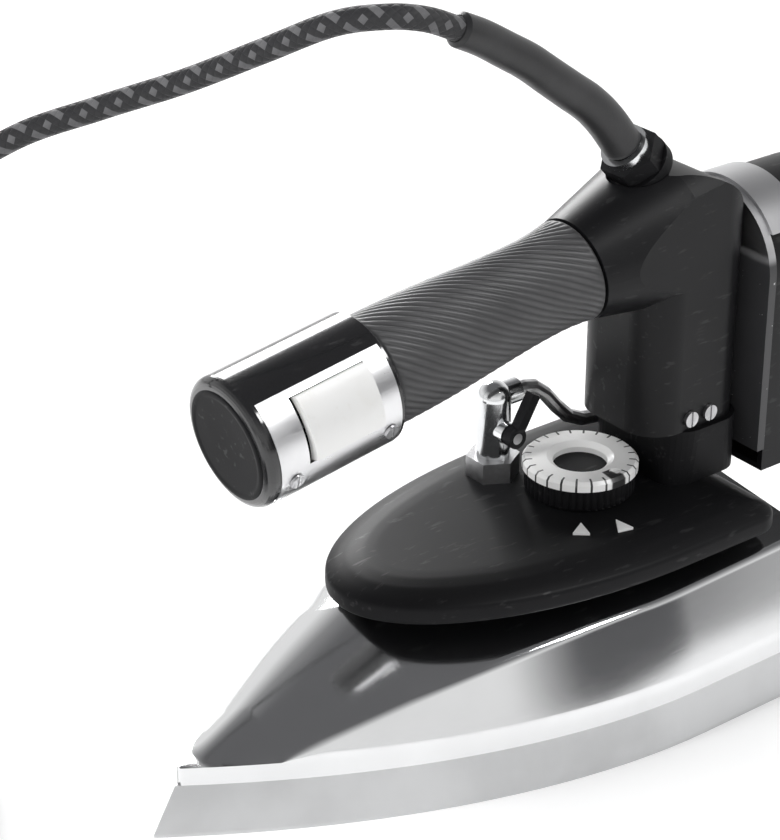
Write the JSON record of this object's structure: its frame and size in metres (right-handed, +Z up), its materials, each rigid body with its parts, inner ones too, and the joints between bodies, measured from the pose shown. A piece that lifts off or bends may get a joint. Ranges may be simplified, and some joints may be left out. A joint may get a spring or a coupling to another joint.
{
  "type": "steam iron",
  "caption": "Industrial gravity-feed steam iron with a pointed aluminium soleplate, chrome shell, cantilever handle with thumb paddle, dial and coiled cord with plug.",
  "frame": {"origin": "bottom centre of the iron's own box, on the ironing face", "axes": "+Z up; -Y towards the soleplate's tip; +X towards the left side of the person ironing, where the paddle is"},
  "size_m": [0.2035, 0.3975, 0.233],
  "materials": {
    "polished_aluminium": "polished",
    "heater_sheath": "oxidised",
    "red_silicone": "matte",
    "sheet_aluminium": "satin",
    "zinc_steel": "zinc plated",
    "copper_tube": "drawn tube",
    "chrome_shell": "mirror",
    "cover_resin": "satin",
    "phenolic_brown": "moulded",
    "ceramic": "glazed",
    "knob_resin": "fine moulded",
    "dial_print": "satin",
    "chrome_trim": "bright",
    "handle_resin": "semi gloss",
    "grip_rubber": "ribbed",
    "switch_resin": "gloss",
    "side_aluminium": "brushed",
    "white_resin": "gloss",
    "spring_steel": "drawn wire",
    "switch_case": "moulded",
    "red_button": "moulded",
    "grey_painted_metal": "satin",
    "turned_brass": "turned",
    "coil_resin": "potted",
    "sleeve_rubber": "smooth",
    "braid": "braided",
    "plug_pin_brass": "nickel plated"
  },
  "bodies": {
    "iron": {"soleplate": "polished_aluminium", "heating_element": "heater_sheath", "chamber_gasket": "red_silicone", "chamber_lid": "sheet_aluminium", "lid_screws": "zinc_steel", "steam_inlet_tube": "copper_tube", "frame_pillars": "zinc_steel", "frame_studs": "zinc_steel", "stud_nuts": "zinc_steel", "body_shell": "chrome_shell", "heat_shield": "sheet_aluminium", "top_cover": "cover_resin", "handle_pedestal": "cover_resin", "thermostat_body": "phenolic_brown", "thermostat_screws": "zinc_steel", "thermal_fuse": "ceramic", "terminal_block": "ceramic", "dial_pointers": "dial_print", "union_elbow": "chrome_trim", "union_nut": "zinc_steel", "feed_pipe": "zinc_steel", "handle_post": "handle_resin", "foot_screws": "zinc_steel", "handle_tube": "zinc_steel", "handle_grip": "grip_rubber", "switch_housing": "switch_resin", "side_plate": "side_aluminium", "plate_screws": "zinc_steel", "button_pin": "zinc_steel", "button_spring": "spring_steel", "microswitch": "switch_case", "valve_bracket": "grey_painted_metal", "valve_housing": "handle_resin", "valve_body": "turned_brass", "valve_coil": "coil_resin", "core_tube": "zinc_steel", "plunger_spring": "spring_steel", "bracket_screws": "zinc_steel", "water_nipple": "turned_brass", "gland_nut": "knob_resin", "gland_collar": "chrome_trim", "strain_relief": "sleeve_rubber", "power_cord": "braid", "cord_coil": "braid", "cord_tail": "braid", "cord_tie": "knob_resin", "plug_body": "sleeve_rubber", "plug_pins": "plug_pin_brass"},
    "dial": {"dial_shaft": "zinc_steel", "dial_knob": "knob_resin", "dial_ring": "dial_print"},
    "paddle": {"steam_button": "white_resin"},
    "switch_button": {"microswitch_plunger": "red_button"},
    "solenoid_plunger": {"valve_plunger": "zinc_steel"},
    "steam_regulator": {"regulator_needle": "zinc_steel", "regulator_lever": "knob_resin"}
  },
  "joints": [
    {"name": "dial_turn", "type": "hinge", "parent": "iron", "child": "dial", "pos_m": [0, 0.03075, 0.07], "axis": [0, 0, 1], "range_deg": [0, 270]},
    {"name": "button_press", "type": "hinge", "parent": "iron", "child": "paddle", "pos_m": [0.01217, -0.06628, 0.12942], "axis": [0.309, 0.1455, -0.9399], "range_deg": [0, 8], "stiffness_Nm_per_rad": 0.25, "springref_deg": -5.73, "deforming": ["button_spring"]},
    {"name": "switch_press", "type": "slide", "parent": "iron", "child": "switch_button", "axis": [-0.9511, 0.0473, -0.3054], "range_m": [0, 0.0018]},
    {"name": "valve_lift", "type": "slide", "parent": "iron", "child": "solenoid_plunger", "axis": [0, 0, 1], "range_m": [0, 0.003], "stiffness_N_per_m": 200, "springref_m": -0.004, "deforming": ["plunger_spring"]},
    {"name": "regulator_turn", "type": "hinge", "parent": "iron", "child": "steam_regulator", "pos_m": [-0.0235, 0.01475, 0.08], "axis": [1, 0, 0], "range_deg": [0, 90]}
  ],
  "couplings": [
    {"joint": "switch_press", "follows": "button_press", "m_per_rad": 0.012}
  ]
}
